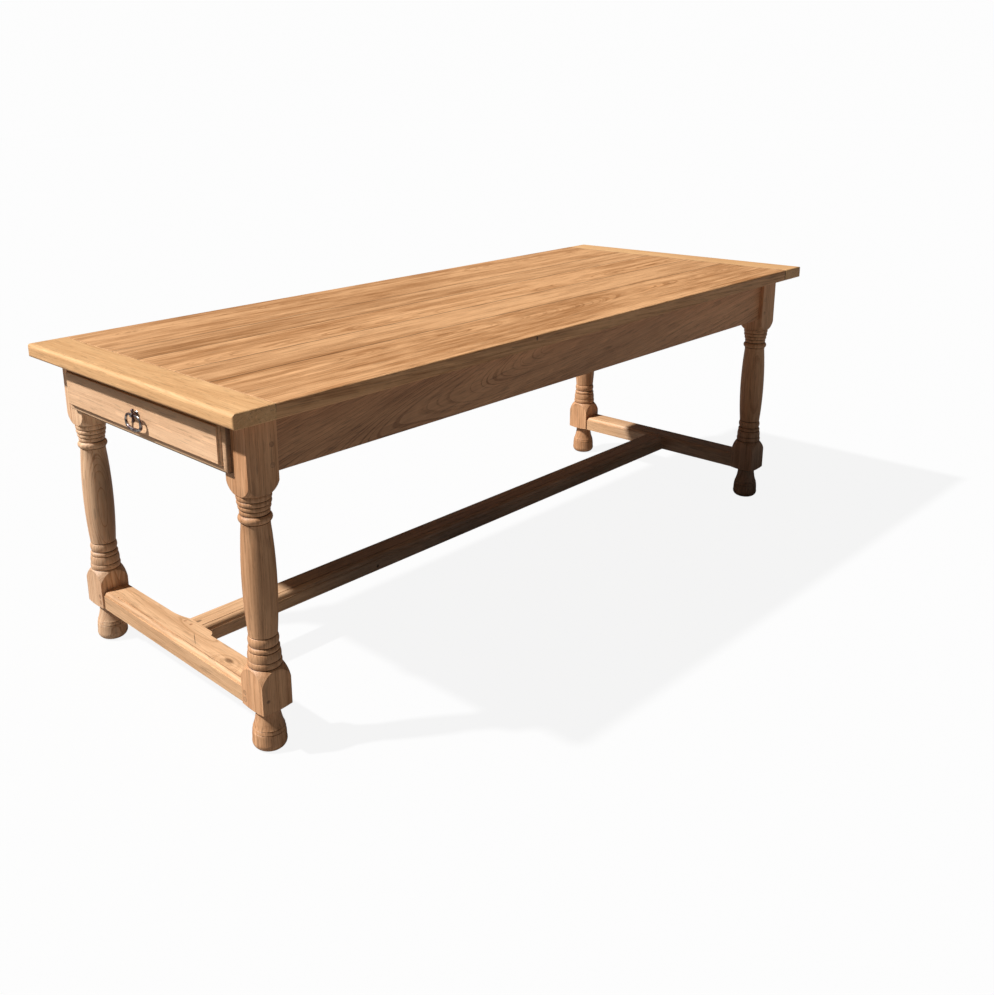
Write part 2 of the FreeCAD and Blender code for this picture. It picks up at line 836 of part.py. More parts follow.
def pull_ring():
    """Oval ring: a straight bar through the knuckle, two end bends and a shallow bend below."""
    bar_half = ring_width / 2 - ring_end_radius
    turn = 2 * math.atan2(bar_half, ring_drop - 2 * ring_end_radius)
    low_radius = ring_end_radius + bar_half / math.sin(turn)
    eye = point(eye_x, pull_y, pull_height)
    bar = Part.makeCylinder(ring_wire_radius, bar_half * 2, eye - Y * bar_half, Y)
    right = eye - Y * bar_half
    left = eye + Y * bar_half
    bend_down = Z * -ring_end_radius
    lowest = eye - Z * ring_drop
    low_centre = lowest + Z * low_radius
    low_angle = 2 * (180 - math.degrees(turn))
    low_start = low_centre + FreeCAD.Rotation(X, -low_angle / 2).multVec(Z * -low_radius)
    pieces = [
        bar,
        ring_arc(left + bend_down, left, -math.degrees(turn)),
        ring_arc(right + bend_down, right, math.degrees(turn)),
        ring_arc(low_centre, low_start, low_angle),
    ]
    return fused(pieces)


def parts():
    """Every node of the table by its name. A list of solids makes one node of separate pieces."""
    slab = top_slab()
    nodes = {}
    screws = button_screws()
    for number, board in enumerate(top_boards(slab), 1):
        nodes[f"top_board_{number}"] = board.cut(screws)
    nodes["breadboard_drawer_end"] = breadboard(slab, -1)
    nodes["breadboard_far_end"] = breadboard(slab, 1)
    for end, end_name in ((-1, "drawer"), (1, "far")):
        for side, side_name in ((1, "left"), (-1, "right")):
            nodes[f"leg_{end_name}_{side_name}"] = leg(end, side)
        nodes[f"stretcher_{end_name}_end"] = end_stretcher(end)
    nodes["stretcher_long"] = long_stretcher()
    for side, side_name in ((1, "left"), (-1, "right")):
        nodes[f"side_apron_{side_name}"] = side_apron(side)
        nodes[f"drawer_runner_{side_name}"] = drawer_runner(side)
        nodes[f"drawer_side_{side_name}"] = drawer_side(side)
    nodes["far_apron"] = far_apron()
    nodes["drawer_rail"] = drawer_rail()
    nodes["apron_pegs"] = pins(apron_peg_places(), peg_radius, apron_peg_length)
    nodes["stretcher_pegs"] = pins(stretcher_peg_places(), stretcher_peg_radius, stretcher_peg_length)
    nodes["stretcher_pegs"] += pins(middle_peg_places(), stretcher_peg_radius, middle_peg_length)
    nodes["top_buttons"] = top_buttons()
    nodes["button_screws"] = screws
    nodes["runner_nails"] = runner_nails()
    nodes["drawer_front"] = drawer_front()
    nodes["drawer_back"] = drawer_back()
    nodes["drawer_bottom"] = drawer_bottom().cut(drawer_nails())
    nodes["drawer_nails"] = drawer_nails()
    nodes["pull_plate"] = pull_plate()
    nodes["pull_post"] = pull_post()
    nodes["pull_nut"] = pull_nut()
    nodes["pull_ring"] = pull_ring()
    return nodes


os.makedirs("parts", exist_ok=True)
for name, shape in parts().items():
    whole = Part.makeCompound(shape) if isinstance(shape, list) else shape
    whole.exportStep(f"parts/{name}.step")
    print(name, len(whole.Solids), "solids", "valid" if whole.isValid() else "NOT VALID", round(whole.Volume / 1000, 1))
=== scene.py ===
# %% [markdown]
# # A farmhouse table with one drawer
# This lesson dresses the joiner's solid model of a long oak table. Every board, leg and peg of that model comes in
# as an object of its own, already at its real size and place. Here each of them gets its wood. The pieces with small
# bands and curves, which are the legs, the drawer front and the ring of the pull, are also modelled more finely.
# X runs along the table with the drawer at the -X end, Y across it and Z up, in metres.

# %% Load the joiner's model
import bpy
import math
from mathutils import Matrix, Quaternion, Vector


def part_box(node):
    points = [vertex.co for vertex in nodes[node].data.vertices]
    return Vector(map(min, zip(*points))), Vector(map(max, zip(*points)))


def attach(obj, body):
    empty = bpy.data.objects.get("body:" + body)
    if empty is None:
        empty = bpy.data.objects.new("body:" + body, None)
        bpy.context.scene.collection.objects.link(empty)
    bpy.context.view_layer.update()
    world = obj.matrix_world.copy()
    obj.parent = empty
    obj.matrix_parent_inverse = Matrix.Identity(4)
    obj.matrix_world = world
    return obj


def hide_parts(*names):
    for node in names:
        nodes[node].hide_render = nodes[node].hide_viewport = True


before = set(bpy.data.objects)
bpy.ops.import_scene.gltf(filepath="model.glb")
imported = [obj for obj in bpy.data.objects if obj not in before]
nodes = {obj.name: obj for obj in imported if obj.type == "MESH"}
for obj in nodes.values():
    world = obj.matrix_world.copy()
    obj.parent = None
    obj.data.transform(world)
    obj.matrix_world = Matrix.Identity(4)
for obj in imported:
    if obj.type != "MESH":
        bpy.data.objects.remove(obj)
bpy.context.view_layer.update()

# %% [markdown]
# The camera stands where the photographer stood: near the right-hand corner of the drawer end, a little above the
# top. A camera's place could be guessed by eye, but a table is all straight edges, so its place was worked out from
# them. The picture is a cut-out from a wider one, which is why the lens is shifted a little.

# %% Camera at the photographer's place
IMAGE_WIDTH, IMAGE_HEIGHT = 994, 995
FOCAL_LENGTH_PX = 1037.7
CENTRE_PX = (412.5, 392.7)
STANDPOINT = Vector((-2.049, -1.918, 1.2935))
AZIMUTH, ELEVATION, ROLL = math.radians(-43.55), math.radians(15.85), math.radians(-1.24)

long_side = max(IMAGE_WIDTH, IMAGE_HEIGHT)
lens = bpy.data.cameras.new("camera")
lens.lens = lens.sensor_width * FOCAL_LENGTH_PX / long_side
lens.shift_x = (IMAGE_WIDTH / 2 - CENTRE_PX[0]) / long_side
lens.shift_y = (CENTRE_PX[1] - IMAGE_HEIGHT / 2) / long_side
camera = bpy.data.objects.new("camera", lens)
bpy.context.scene.collection.objects.link(camera)
bpy.context.scene.camera = camera
backwards = Vector((math.sin(AZIMUTH) * math.cos(ELEVATION), -math.cos(AZIMUTH) * math.cos(ELEVATION),
                    math.sin(ELEVATION)))
camera.location = STANDPOINT
camera.rotation_mode = "QUATERNION"
camera.rotation_quaternion = backwards.to_track_quat("Z", "Y") @ Quaternion((0, 0, 1), ROLL)
print("lens", round(lens.lens, 1), "mm, shift", round(lens.shift_x, 3), round(lens.shift_y, 3))

# %% [markdown]
# The table stands on a plain pale floor. A white floor would throw so much light back up that the shaded side of the
# table would lose its depth, so for the light the floor is a warm grey. The camera sees a floor that glows instead,
# with a faint shadow, because the photograph was cut out on white.

# %% Floor
FLOOR_REACH = 80.0
FLOOR_FOR_LIGHT = (0.297, 0.284, 0.268, 1)
FLOOR_FOR_CAMERA = (0.07, 0.07, 0.07, 1)
FLOOR_ROUGHNESS = 0.9
FLOOR_GLOW = 0.9


def new_material(name):
    """An empty material with its tree of nodes and its principled shader."""
    material = bpy.data.materials.new(name)
    material.use_nodes = True
    return material, material.node_tree, material.node_tree.nodes["Principled BSDF"]


def show_apart(tree, for_light, for_camera, last_node):
    """Lets the light meet one shader of a tree and the camera see another."""
    which = tree.nodes.new("ShaderNodeMixShader")
    rays = tree.nodes.new("ShaderNodeLightPath")
    tree.links.new(rays.outputs["Is Camera Ray"], which.inputs[0])
    tree.links.new(for_light.outputs[0], which.inputs[1])
    tree.links.new(for_camera.outputs[0], which.inputs[2])
    tree.links.new(which.outputs[0], tree.nodes[last_node].inputs["Surface"])


bpy.ops.object.select_all(action="DESELECT")
bpy.ops.mesh.primitive_plane_add(size=FLOOR_REACH)
floor = bpy.context.object
floor.name = "floor"
floor_material, floor_tree, glowing_floor = new_material("pale_floor")
for socket, value in (("Base Color", FLOOR_FOR_CAMERA), ("Roughness", FLOOR_ROUGHNESS), ("Specular IOR Level", 0.0),
                      ("Emission Color", (1, 1, 1, 1)), ("Emission Strength", FLOOR_GLOW)):
    glowing_floor.inputs[socket].default_value = value
plain_floor = floor_tree.nodes.new("ShaderNodeBsdfDiffuse")
plain_floor.inputs["Color"].default_value = FLOOR_FOR_LIGHT
show_apart(floor_tree, plain_floor, glowing_floor, "Material Output")
floor.data.materials.append(floor_material)
print("a floor of", FLOOR_REACH, "metres each way")

# %% [markdown]
# In the photograph the light comes from behind the drawer's left corner, so the top and the drawer are bright and the
# long side is in shade. A lamp of the sun kind does the same and lights the floor evenly. It is made wider than the
# real sun, so that shadows have soft edges, and the room fills the shade a little. The camera sees a room that is as
# pale as the floor.

# %% Soft light
LIGHT_FROM = Vector((-0.725, 0.505, 1.0)).normalized()
SUN_POWER, SUN_WIDTH = 4.6, math.radians(2.2)
ROOM_TINT, ROOM_POWER = (1.0, 0.97, 0.94, 1), 0.06
ROOM_FOR_CAMERA = (0.98, 0.98, 0.98, 1)

sun = bpy.data.lights.new("soft_key", "SUN")
sun.energy = SUN_POWER
sun.angle = SUN_WIDTH
key_lamp = bpy.data.objects.new("soft_key", sun)
bpy.context.scene.collection.objects.link(key_lamp)
key_lamp.rotation_mode = "QUATERNION"
key_lamp.rotation_quaternion = LIGHT_FROM.to_track_quat("Z", "Y")

room = bpy.data.worlds.new("pale_room")
bpy.context.scene.world = room
room.use_nodes = True
fill = room.node_tree.nodes["Background"]
fill.inputs["Color"].default_value = ROOM_TINT
fill.inputs["Strength"].default_value = ROOM_POWER
seen = room.node_tree.nodes.new("ShaderNodeBackground")
seen.inputs["Color"].default_value = ROOM_FOR_CAMERA
show_apart(room.node_tree, fill, seen, "World Output")
bpy.context.scene.view_settings.view_transform = "Standard"
print("light from", [round(v, 2) for v in LIGHT_FROM])

# %% [markdown]
# A leg is a square post that was turned on a lathe, except for two blocks left square for the joints. It could be
# carved out of a square block, but spinning is easier if the order is turned round. The outline is spun first, and
# where the blocks are it swells out past their corners. Then four flat cuts take away all that stands outside the
# square post. Where a cut meets the swell, the arched shoulder of the block appears by itself, as on the real leg.
# The outline lists radius and height in millimetres from the floor up. A row of four numbers is an arc, given by
# its middle and its end.

# %% Outline of a leg
MM = 0.001
LEG_SQUARE = 73.8
CORNER = 53.4
TOP_OF_LEG = 728.0


def groove(radius, height, depth=1.4, half_width=1.0):
    """A fine V cut with the point of the chisel."""
    return [(radius, height - half_width), (radius - depth, height), (radius, height + half_width)]


foot_outline = [(24.5, 0.0), (33.9, 6.6, 36.2, 21.0), (36.0, 33.0)] + groove(35.1, 40.7) + groove(33.6, 49.1)
foot_outline += [(32.3, 52.6), (27.5, 70.0, 25.1, 93.6)]
lower_block_outline = [(CORNER, 99.0), (CORNER, 153.0), (46.8, 174.7, 35.3, 190.2)]
lower_rings_outline = [(33.6, 191.3), (34.6, 192.2), (36.2, 198.0, 35.0, 204.4), (33.2, 205.4), (34.6, 206.4),
                       (35.0, 215.0, 33.2, 224.4), (30.8, 225.4), (32.3, 226.5), (33.2, 231.0, 30.8, 235.8),
                       (29.0, 236.9), (29.8, 238.3), (32.4, 248.5, 30.4, 257.2), (28.2, 258.7), (30.3, 260.2)]
shaft_outline = [(35.6, 381.0, 29.7, 499.5)]
upper_rings_outline = [(30.3, 503.0), (29.0, 504.3), (30.9, 505.3), (34.7, 513.2, 31.0, 520.0), (28.3, 521.3),
                       (29.8, 522.6), (31.0, 526.6, 30.4, 530.2), (29.2, 531.2), (31.4, 532.3),
                       (33.2, 537.0, 32.4, 540.6), (31.1, 541.5), (33.4, 542.5), (35.1, 547.4, 34.0, 551.3),
                       (32.7, 552.3), (34.6, 553.3), (36.0, 559.0, 35.0, 564.0), (34.0, 565.0), (38.5, 565.6)]
upper_block_outline = [(47.8, 577.5, CORNER, 596.0), (CORNER, TOP_OF_LEG), (0.0, TOP_OF_LEG)]
leg_outline = (foot_outline + lower_block_outline + lower_rings_outline + shaft_outline + upper_rings_outline
               + upper_block_outline)
print("the turner follows", len(leg_outline), "steps from the floor to the top of a leg")

# %% [markdown]
# The lathe is the spin tool. A single point is drawn out step by step along the outline, the string of edges that
# this leaves is spun once round, and the seam where the spin ends on its start is closed.

# %% Lathe
SPIN_STEPS = 72
SAME_PLACE = 1e-6


def arc_points(start, middle, end, count):
    """Points on the circle through three points, after the start."""
    (ax, ay), (bx, by), (cx, cy) = start, middle, end
    turn = 2 * (ax * (by - cy) + bx * (cy - ay) + cx * (ay - by))
    a2, b2, c2 = ax * ax + ay * ay, bx * bx + by * by, cx * cx + cy * cy
    ox = (a2 * (by - cy) + b2 * (cy - ay) + c2 * (ay - by)) / turn
    oy = (a2 * (cx - bx) + b2 * (ax - cx) + c2 * (bx - ax)) / turn
    first, last = math.atan2(ay - oy, ax - ox), math.atan2(cy - oy, cx - ox)
    if turn > 0 and last < first:
        last += 2 * math.pi
    if turn < 0 and last > first:
        last -= 2 * math.pi
    radius = math.hypot(ax - ox, ay - oy)
    angles = [first + (last - first) * step / count for step in range(1, count + 1)]
    return [(ox + radius * math.cos(angle), oy + radius * math.sin(angle)) for angle in angles]


def drawn_outline(steps, arc_count=9):
    """All points of an outline, with its arcs drawn out."""
    points = [steps[0]]
    for step in steps[1:]:
        if len(step) == 4:
            points += arc_points(points[-1], step[:2], step[2:], arc_count)
        else:
            points.append(step)
    return points


def turn_on_lathe(name, points):
    """A closed round piece about the Z axis, left in edit mode. It starts and ends on the axis."""
    bpy.ops.object.select_all(action="DESELECT")
    bpy.ops.mesh.primitive_plane_add(size=0.01)
    piece = bpy.context.object
    piece.name = name
    bpy.ops.object.mode_set(mode="EDIT")
    bpy.ops.mesh.select_all(action="SELECT")
    bpy.ops.mesh.merge(type="CENTER")
    here = Vector((0, 0, 0))
    for radius, height in points:
        there = Vector((radius * MM, 0, height * MM))
        bpy.ops.mesh.extrude_region_move(TRANSFORM_OT_translate={"value": there - here})
        here = there
    bpy.ops.mesh.select_all(action="SELECT")
    bpy.ops.mesh.spin(steps=SPIN_STEPS, angle=2 * math.pi, center=(0, 0, 0), axis=(0, 0, 1))
    bpy.ops.mesh.select_all(action="SELECT")
    bpy.ops.mesh.remove_doubles(threshold=SAME_PLACE)
    bpy.ops.mesh.normals_make_consistent(inside=False)
    return piece


first_leg = turn_on_lathe("leg", drawn_outline(leg_outline))
bpy.ops.object.mode_set(mode="OBJECT")
print("off the lathe with", len(first_leg.data.polygons), "faces")

# %% [markdown]
# Now the four flat cuts. The bisect tool cuts along a plane, throws away the outer side and fills the cut. The
# blocks' long corners are then planed off by less than a millimetre, as a joiner does so that they don't splinter.

# %% Square blocks
import bmesh

ARRIS = 0.0009
SHORTEST_CORNER = 0.02
CUT_SLACK = 1e-4
LEG_SMOOTHING = math.radians(32)


def select_edges(piece, wanted):
    """Selects the edges for which wanted(edge) is true, and counts them. The piece is in edit mode."""
    bpy.ops.mesh.select_mode(type="EDGE")
    bpy.ops.mesh.select_all(action="DESELECT")
    mesh = bmesh.from_edit_mesh(piece.data)
    count = 0
    for edge in mesh.edges:
        if wanted(edge):
            edge.select_set(True)
            count += 1
    bmesh.update_edit_mesh(piece.data)
    return count


def is_block_corner(edge):
    """A long upright edge between two of the flat cuts."""
    low, high = (v.co for v in edge.verts)
    upright = abs(low.x - high.x) + abs(low.y - high.y) < SAME_PLACE
    upright = upright and abs(low.z - high.z) > SHORTEST_CORNER
    return upright and min(abs(low.x), abs(low.y)) > LEG_SQUARE / 2 * MM - CUT_SLACK


bpy.ops.object.mode_set(mode="EDIT")
for way in ((1, 0, 0), (-1, 0, 0), (0, 1, 0), (0, -1, 0)):
    bpy.ops.mesh.select_all(action="SELECT")
    bpy.ops.mesh.bisect(plane_co=Vector(way) * LEG_SQUARE / 2 * MM, plane_no=way, use_fill=True, clear_outer=True)
corners = select_edges(first_leg, is_block_corner)
bpy.ops.mesh.bevel(offset=ARRIS, segments=2, affect="EDGES")
bpy.ops.object.mode_set(mode="OBJECT")
bpy.ops.object.shade_smooth_by_angle(angle=LEG_SMOOTHING)
print("eased", corners, "corners,", [round(v, 4) for v in first_leg.dimensions])

# %% [markdown]
# The four legs are alike, so four copies are made, each with a mesh of its own, and set on the corners of the frame.
# The first leg was only the pattern for them and is thrown away.

# %% Four legs
def settle(piece):
    """Leaves the piece where it is, but with its place in its mesh and its origin at the world's."""
    bpy.ops.object.select_all(action="DESELECT")
    piece.select_set(True)
    bpy.context.view_layer.objects.active = piece
    bpy.ops.object.transform_apply(location=True, rotation=True, scale=True)


def stand_for(piece, name, body):
    """The piece stands for one node of the joiner's model and moves with its body."""
    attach(piece, body)
    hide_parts(name)


LEG_NAMES = ("leg_drawer_left", "leg_drawer_right", "leg_far_left", "leg_far_right")
legs = {}
for name in LEG_NAMES:
    leg = first_leg.copy()
    leg.data = first_leg.data.copy()
    leg.name = name + "_turned"
    bpy.context.scene.collection.objects.link(leg)
    low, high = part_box(name)
    leg.location = ((low.x + high.x) / 2, (low.y + high.y) / 2, 0)
    settle(leg)
    stand_for(leg, name, "table_frame")
    legs[name] = leg
bpy.data.objects.remove(first_leg)
print("four legs of", LEG_SQUARE, "mm square stock")

# %% [markdown]
# The drawer front is a board with a raised field, a moulding round it and a rounded lip that closes over the posts.
# A joiner planes the moulding along the edges. Here the same section is climbed step by step: the outline of the lip
# is drawn out a little, made a little smaller, drawn out again, until only the field is left. The section lists how
# far each step lies from the outer edge and how high it rises, in millimetres. At the two sides it is narrower.

# %% Moulding and field of the drawer front
LIP_BACK = -1.0113
SIDE_SHARE = 0.78
border_outline = [(0.0, 0.0), (0.0, 4.0), (2.4, 9.8, 8.2, 12.5), (12.4, 12.8), (12.9, 11.6), (13.5, 11.6),
                  (13.9, 12.8), (15.3, 16.2, 18.2, 17.6), (18.4, 16.9), (19.0, 16.9), (19.2, 21.0), (19.7, 21.5)]
front_low, front_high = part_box("drawer_front")


def raise_field(low, high, steps):
    """Climbs the section from the lip's back to the field, with the lip's outline in edit mode and selected."""
    middle_y, middle_z = (low.y + high.y) / 2, (low.z + high.z) / 2
    half_y, half_z, risen = (high.y - low.y) / 2, (high.z - low.z) / 2, 0.0
    size_y, size_z = half_y, half_z
    for inset, rise in steps:
        bpy.ops.mesh.extrude_region_move(TRANSFORM_OT_translate={"value": ((risen - rise) * MM, 0, 0)})
        next_y, next_z = half_y - inset * SIDE_SHARE * MM, half_z - inset * MM
        bpy.ops.transform.resize(value=(1, next_y / size_y, next_z / size_z),
                                 center_override=(LIP_BACK - rise * MM, middle_y, middle_z))
        size_y, size_z, risen = next_y, next_z, rise


def carve_front(low, high):
    """The lip, moulding and field as one closed piece."""
    centre = (LIP_BACK, 0, (low.z + high.z) / 2)
    bpy.ops.object.select_all(action="DESELECT")
    bpy.ops.mesh.primitive_plane_add(size=1, location=centre, rotation=(0, -math.pi / 2, 0))
    piece = bpy.context.object
    bpy.ops.object.transform_apply(location=True, rotation=True, scale=True)
    bpy.ops.object.mode_set(mode="EDIT")
    bpy.ops.mesh.select_all(action="SELECT")
    bpy.ops.transform.resize(value=(1, high.y - low.y, high.z - low.z), center_override=centre)
    raise_field(low, high, drawn_outline(border_outline, 6)[1:])
    bpy.ops.mesh.select_all(action="DESELECT")
    bpy.ops.mesh.select_mode(type="EDGE")
    bpy.ops.mesh.select_non_manifold()
    bpy.ops.mesh.edge_face_add()
    bpy.ops.mesh.select_all(action="SELECT")
    bpy.ops.mesh.normals_make_consistent(inside=False)
    bpy.ops.object.mode_set(mode="OBJECT")
    return piece


drawer_face = carve_front(front_low, front_high)
drawer_face.name = "drawer_front_moulded"
print("the moulding and field have", len(drawer_face.data.polygons), "faces")

# %% [markdown]
# What lies behind the lip, with its sockets for the dovetails, could be cut anew, but the joiner's model already has
# it right. So it is taken from a copy of that piece, cut off at the lip, and joined to the face.

# %% Back of the drawer front
BEHIND_LIP = 1e-5
FRONT_SMOOTHING = math.radians(25)


def copied_from_model(node_name, name):
    """A new piece with the mesh of the joiner's piece, its corners merged, left in edit mode and selected."""
    piece = bpy.data.objects.new(name, nodes[node_name].data.copy())
    bpy.context.scene.collection.objects.link(piece)
    bpy.ops.object.select_all(action="DESELECT")
    bpy.context.view_layer.objects.active = piece
    piece.select_set(True)
    bpy.ops.object.mode_set(mode="EDIT")
    bpy.ops.mesh.select_all(action="SELECT")
    bpy.ops.mesh.remove_doubles(threshold=SAME_PLACE)
    bpy.ops.mesh.normals_make_consistent(inside=False)
    return piece


behind = copied_from_model("drawer_front", "behind_the_lip")
bpy.ops.mesh.bisect(plane_co=(LIP_BACK + BEHIND_LIP, 0, 0), plane_no=(-1, 0, 0), clear_outer=True, use_fill=True)
bpy.ops.object.mode_set(mode="OBJECT")
bpy.ops.object.select_all(action="DESELECT")
behind.select_set(True)
drawer_face.select_set(True)
bpy.context.view_layer.objects.active = drawer_face
bpy.ops.object.join()
bpy.ops.object.shade_smooth_by_angle(angle=FRONT_SMOOTHING)
stand_for(drawer_face, "drawer_front", "drawer")
print("the drawer front has", len(drawer_face.data.polygons), "faces")

# %% [markdown]
# The smith bent the ring from a bar that he had drawn out thinner towards its ends, so it is thickest at the bottom,
# where the fingers take it. A torus could be pressed into this oval, but the joiner's ring has the right bends
# already. So a copy of it is fattened a little below its top bar, then again from a little lower, and so on until
# three quarters of the way down. The bar itself stays as it is, because it turns in the knuckle.

# %% Ring of the pull
RING_SWELL = 0.0009
SWELL_STEPS = 9
SWELL_REACH = 0.75
RING_SMOOTHING = math.radians(60)

ring = copied_from_model("pull_ring", "pull_ring_forged")
ring_low, ring_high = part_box("pull_ring")
under_the_bar = ring_high.z - (ring_high.x - ring_low.x)
bpy.ops.mesh.select_mode(type="VERT")
for step in range(1, SWELL_STEPS + 1):
    limit = under_the_bar - (under_the_bar - ring_low.z) * SWELL_REACH * step / SWELL_STEPS
    bpy.ops.mesh.select_all(action="DESELECT")
    ring_mesh = bmesh.from_edit_mesh(ring.data)
    for vertex in ring_mesh.verts:
        vertex.select_set(vertex.co.z < limit)
    ring_mesh.select_flush_mode()
    bmesh.update_edit_mesh(ring.data)
    bpy.ops.transform.shrink_fatten(value=RING_SWELL / SWELL_STEPS)
bpy.ops.object.mode_set(mode="OBJECT")
bpy.ops.object.shade_smooth_by_angle(angle=RING_SMOOTHING)
stand_for(ring, "pull_ring", "pull_ring")
print("the ring is now", [round(v / MM, 1) for v in ring.dimensions], "mm")

# %% [markdown]
# The wood is drawn by a tree of nodes. Each node could be added and wired by hand in the shader editor, but there
# are many of them, so a few helpers make each step one line: a node with its inputs, a step of arithmetic, noise
# drawn out along the grain, and a smooth change from one value to another.

# %% Helpers for nodes
def node(tree, kind, inputs=None, **settings):
    """A shader node with its settings, and its inputs given as values or as other nodes' outputs."""
    made = tree.nodes.new("ShaderNode" + kind)
    for key, value in settings.items():
        setattr(made, key, value)
    for key, value in (inputs or {}).items():
        if isinstance(value, bpy.types.NodeSocket):
            tree.links.new(value, made.inputs[key])
        else:
            made.inputs[key].default_value = value
    return made


def math_node(tree, operation, *values, clamp=False):
    """One step of arithmetic."""
    return node(tree, "Math", dict(enumerate(values)), operation=operation, use_clamp=clamp).outputs[0]


def vector_node(tree, operation, *values):
    """One step of arithmetic with vectors or colours."""
    return node(tree, "VectorMath", dict(enumerate(values)), operation=operation).outputs[0]


def length_of(tree, vector):
    """The length of a vector."""
    return node(tree, "VectorMath", {0: vector}, operation="LENGTH").outputs["Value"]


def scaled(tree, vector, factor):
    """A vector or a colour times a number."""
    return node(tree, "VectorMath", {0: vector, "Scale": factor}, operation="SCALE").outputs[0]


def fibre_noise(tree, place, stretch, detail=2.0, roughness=0.5):
    """Noise with its spots drawn out along the grain. Stretch is the number of spots to a metre."""
    moved = vector_node(tree, "MULTIPLY", place, stretch)
    return node(tree, "TexNoise", {"Vector": moved, "Scale": 1.0, "Detail": detail, "Roughness": roughness})


def smooth_step(tree, value, start, end, low=0.0, high=1.0):
    """Goes smoothly from low to high while the value goes from start to end."""
    made = node(tree, "MapRange", {"Value": value, "From Min": start, "From Max": end, "To Min": low, "To Max": high},
                interpolation_type="SMOOTHSTEP")
    return made.outputs["Result"]


def around_zero(tree, noise, strength):
    """Noise moved from 0..1 to both sides of zero."""
    return math_node(tree, "MULTIPLY", math_node(tree, "SUBTRACT", noise, 0.5), strength)


print("each node now takes one line")

# %% [markdown]
# Oak is drawn from the way a tree grows. Yearly rings lie round the pith, and a board cuts through them: where it
# runs nearly along them the rings show as long arches, elsewhere as straight stripes. So the pattern is measured
# from the pith of the log, which wanders a little, and isn't painted on the faces. That way the end of a board and
# its face always agree. Each year starts with a band of open pores that looks like a thin dark line. Round a knot
# the rings bulge. The grain runs along X, and noise is given in spots to a metre along the grain and across it.

# %% Yearly rings and knots
LOG_WANDER = (1.0, 2.6, 2.6)
RIPPLE = (5.0, 60.0, 60.0)
KNOT_STRETCH = (0.5, 1.0, 1.0)
BULGE_REACH, BULGE_HEIGHT = 4.5, 1.6
HEART = (0.3, 1.2)
YEARS_PER_RIPPLE = 0.5
WIDTH_CHANGES, YEARS_PER_CHANGE = 90.0, 2.4
BAND_RISE, BAND_FALL = (0.0, 0.10), (0.18, 0.50)
YEAR_VARIES, YEAR_LEAST = 0.7, 0.45


def knot_in(tree, grain, knot, size):
    """How far the rings bulge round a knot, and how much of its dark heart shows."""
    from_knot = vector_node(tree, "MULTIPLY", vector_node(tree, "SUBTRACT", grain, knot), KNOT_STRETCH)
    distance = length_of(tree, from_knot)
    bulge = smooth_step(tree, distance, 0.0, math_node(tree, "MULTIPLY", size, BULGE_REACH), 1.0, 0.0)
    bulge = math_node(tree, "MULTIPLY", bulge, math_node(tree, "MULTIPLY", size, BULGE_HEIGHT))
    inner, outer = (math_node(tree, "MULTIPLY", size, share) for share in HEART)
    return bulge, smooth_step(tree, distance, inner, outer, 1.0, 0.0)


def distance_to_pith(tree, grain, wander):
    """How far a place lies from the middle of its log, which wanders a little."""
    shift = fibre_noise(tree, grain, LOG_WANDER).outputs["Color"]
    shift = scaled(tree, vector_node(tree, "SUBTRACT", shift, (0.5, 0.5, 0.5)), wander)
    log = vector_node(tree, "ADD", grain, shift)
    return length_of(tree, vector_node(tree, "MULTIPLY", log, (0.0, 1.0, 1.0)))


def yearly_bands(tree, grain, radius, ring_width):
    """The dark band at the start of each year, and how strong it is in that year."""
    ripple = fibre_noise(tree, grain, RIPPLE).outputs["Fac"]
    uneven = node(tree, "TexNoise", {"W": math_node(tree, "MULTIPLY", radius, WIDTH_CHANGES)}, noise_dimensions="1D")
    year = math_node(tree, "DIVIDE", radius, ring_width)
    year = math_node(tree, "ADD", year, math_node(tree, "MULTIPLY", ripple, YEARS_PER_RIPPLE))
    year = math_node(tree, "ADD", year, math_node(tree, "MULTIPLY", uneven.outputs["Fac"], YEARS_PER_CHANGE))
    season = math_node(tree, "FRACT", year)
    band = math_node(tree, "MULTIPLY", smooth_step(tree, season, *BAND_RISE),
                     smooth_step(tree, season, *BAND_FALL, 1.0, 0.0))
    strength = node(tree, "TexWhiteNoise", {"W": math_node(tree, "FLOOR", year)}, noise_dimensions="1D")
    return band, math_node(tree, "MULTIPLY_ADD", strength.outputs["Value"], YEAR_VARIES, YEAR_LEAST)


print("a year's band ends", BAND_FALL[1], "of the way to the next")

# %% [markdown]
# Streaks left by sun and sap come in three sizes. Pale flecks and dark dashes lie between them, and short pores come
# on top, most of them in the band of each year.

# %% Streaks, flecks and pores
# Streaks from broad to fine: spots to a metre, detail and roughness, and then how much each changes the tone
STREAK_SIZES = (((0.9, 9.0, 9.0), 4.0, 0.6), ((2.6, 42.0, 42.0), 3.0, 0.6), ((9.0, 240.0, 240.0), 3.0, 0.65))
STREAK_PARTS = (1.3, 1.5, 1.3)
FLECKS, PALE_FLECKS, DARK_DASHES = (15.0, 190.0, 190.0), (0.63, 0.74), (0.40, 0.29)
FLECK_GAIN, DASH_LOSS = 0.16, -0.22
PORES, PORE_EDGE = (75.0, 1500.0, 1500.0), (0.56, 0.70)
PORES_IN_BAND, PORES_EVERYWHERE = 0.75, 0.25


def streaks_in(tree, grain):
    """The broad and the fine streaks, and what streaks of all three sizes add to the tone."""
    noises = [fibre_noise(tree, grain, *size).outputs["Fac"] for size in STREAK_SIZES]
    parts = [around_zero(tree, noise, part) for noise, part in zip(noises, STREAK_PARTS)]
    added = math_node(tree, "ADD", math_node(tree, "ADD", parts[0], parts[1]), parts[2])
    return noises[0], noises[2], added


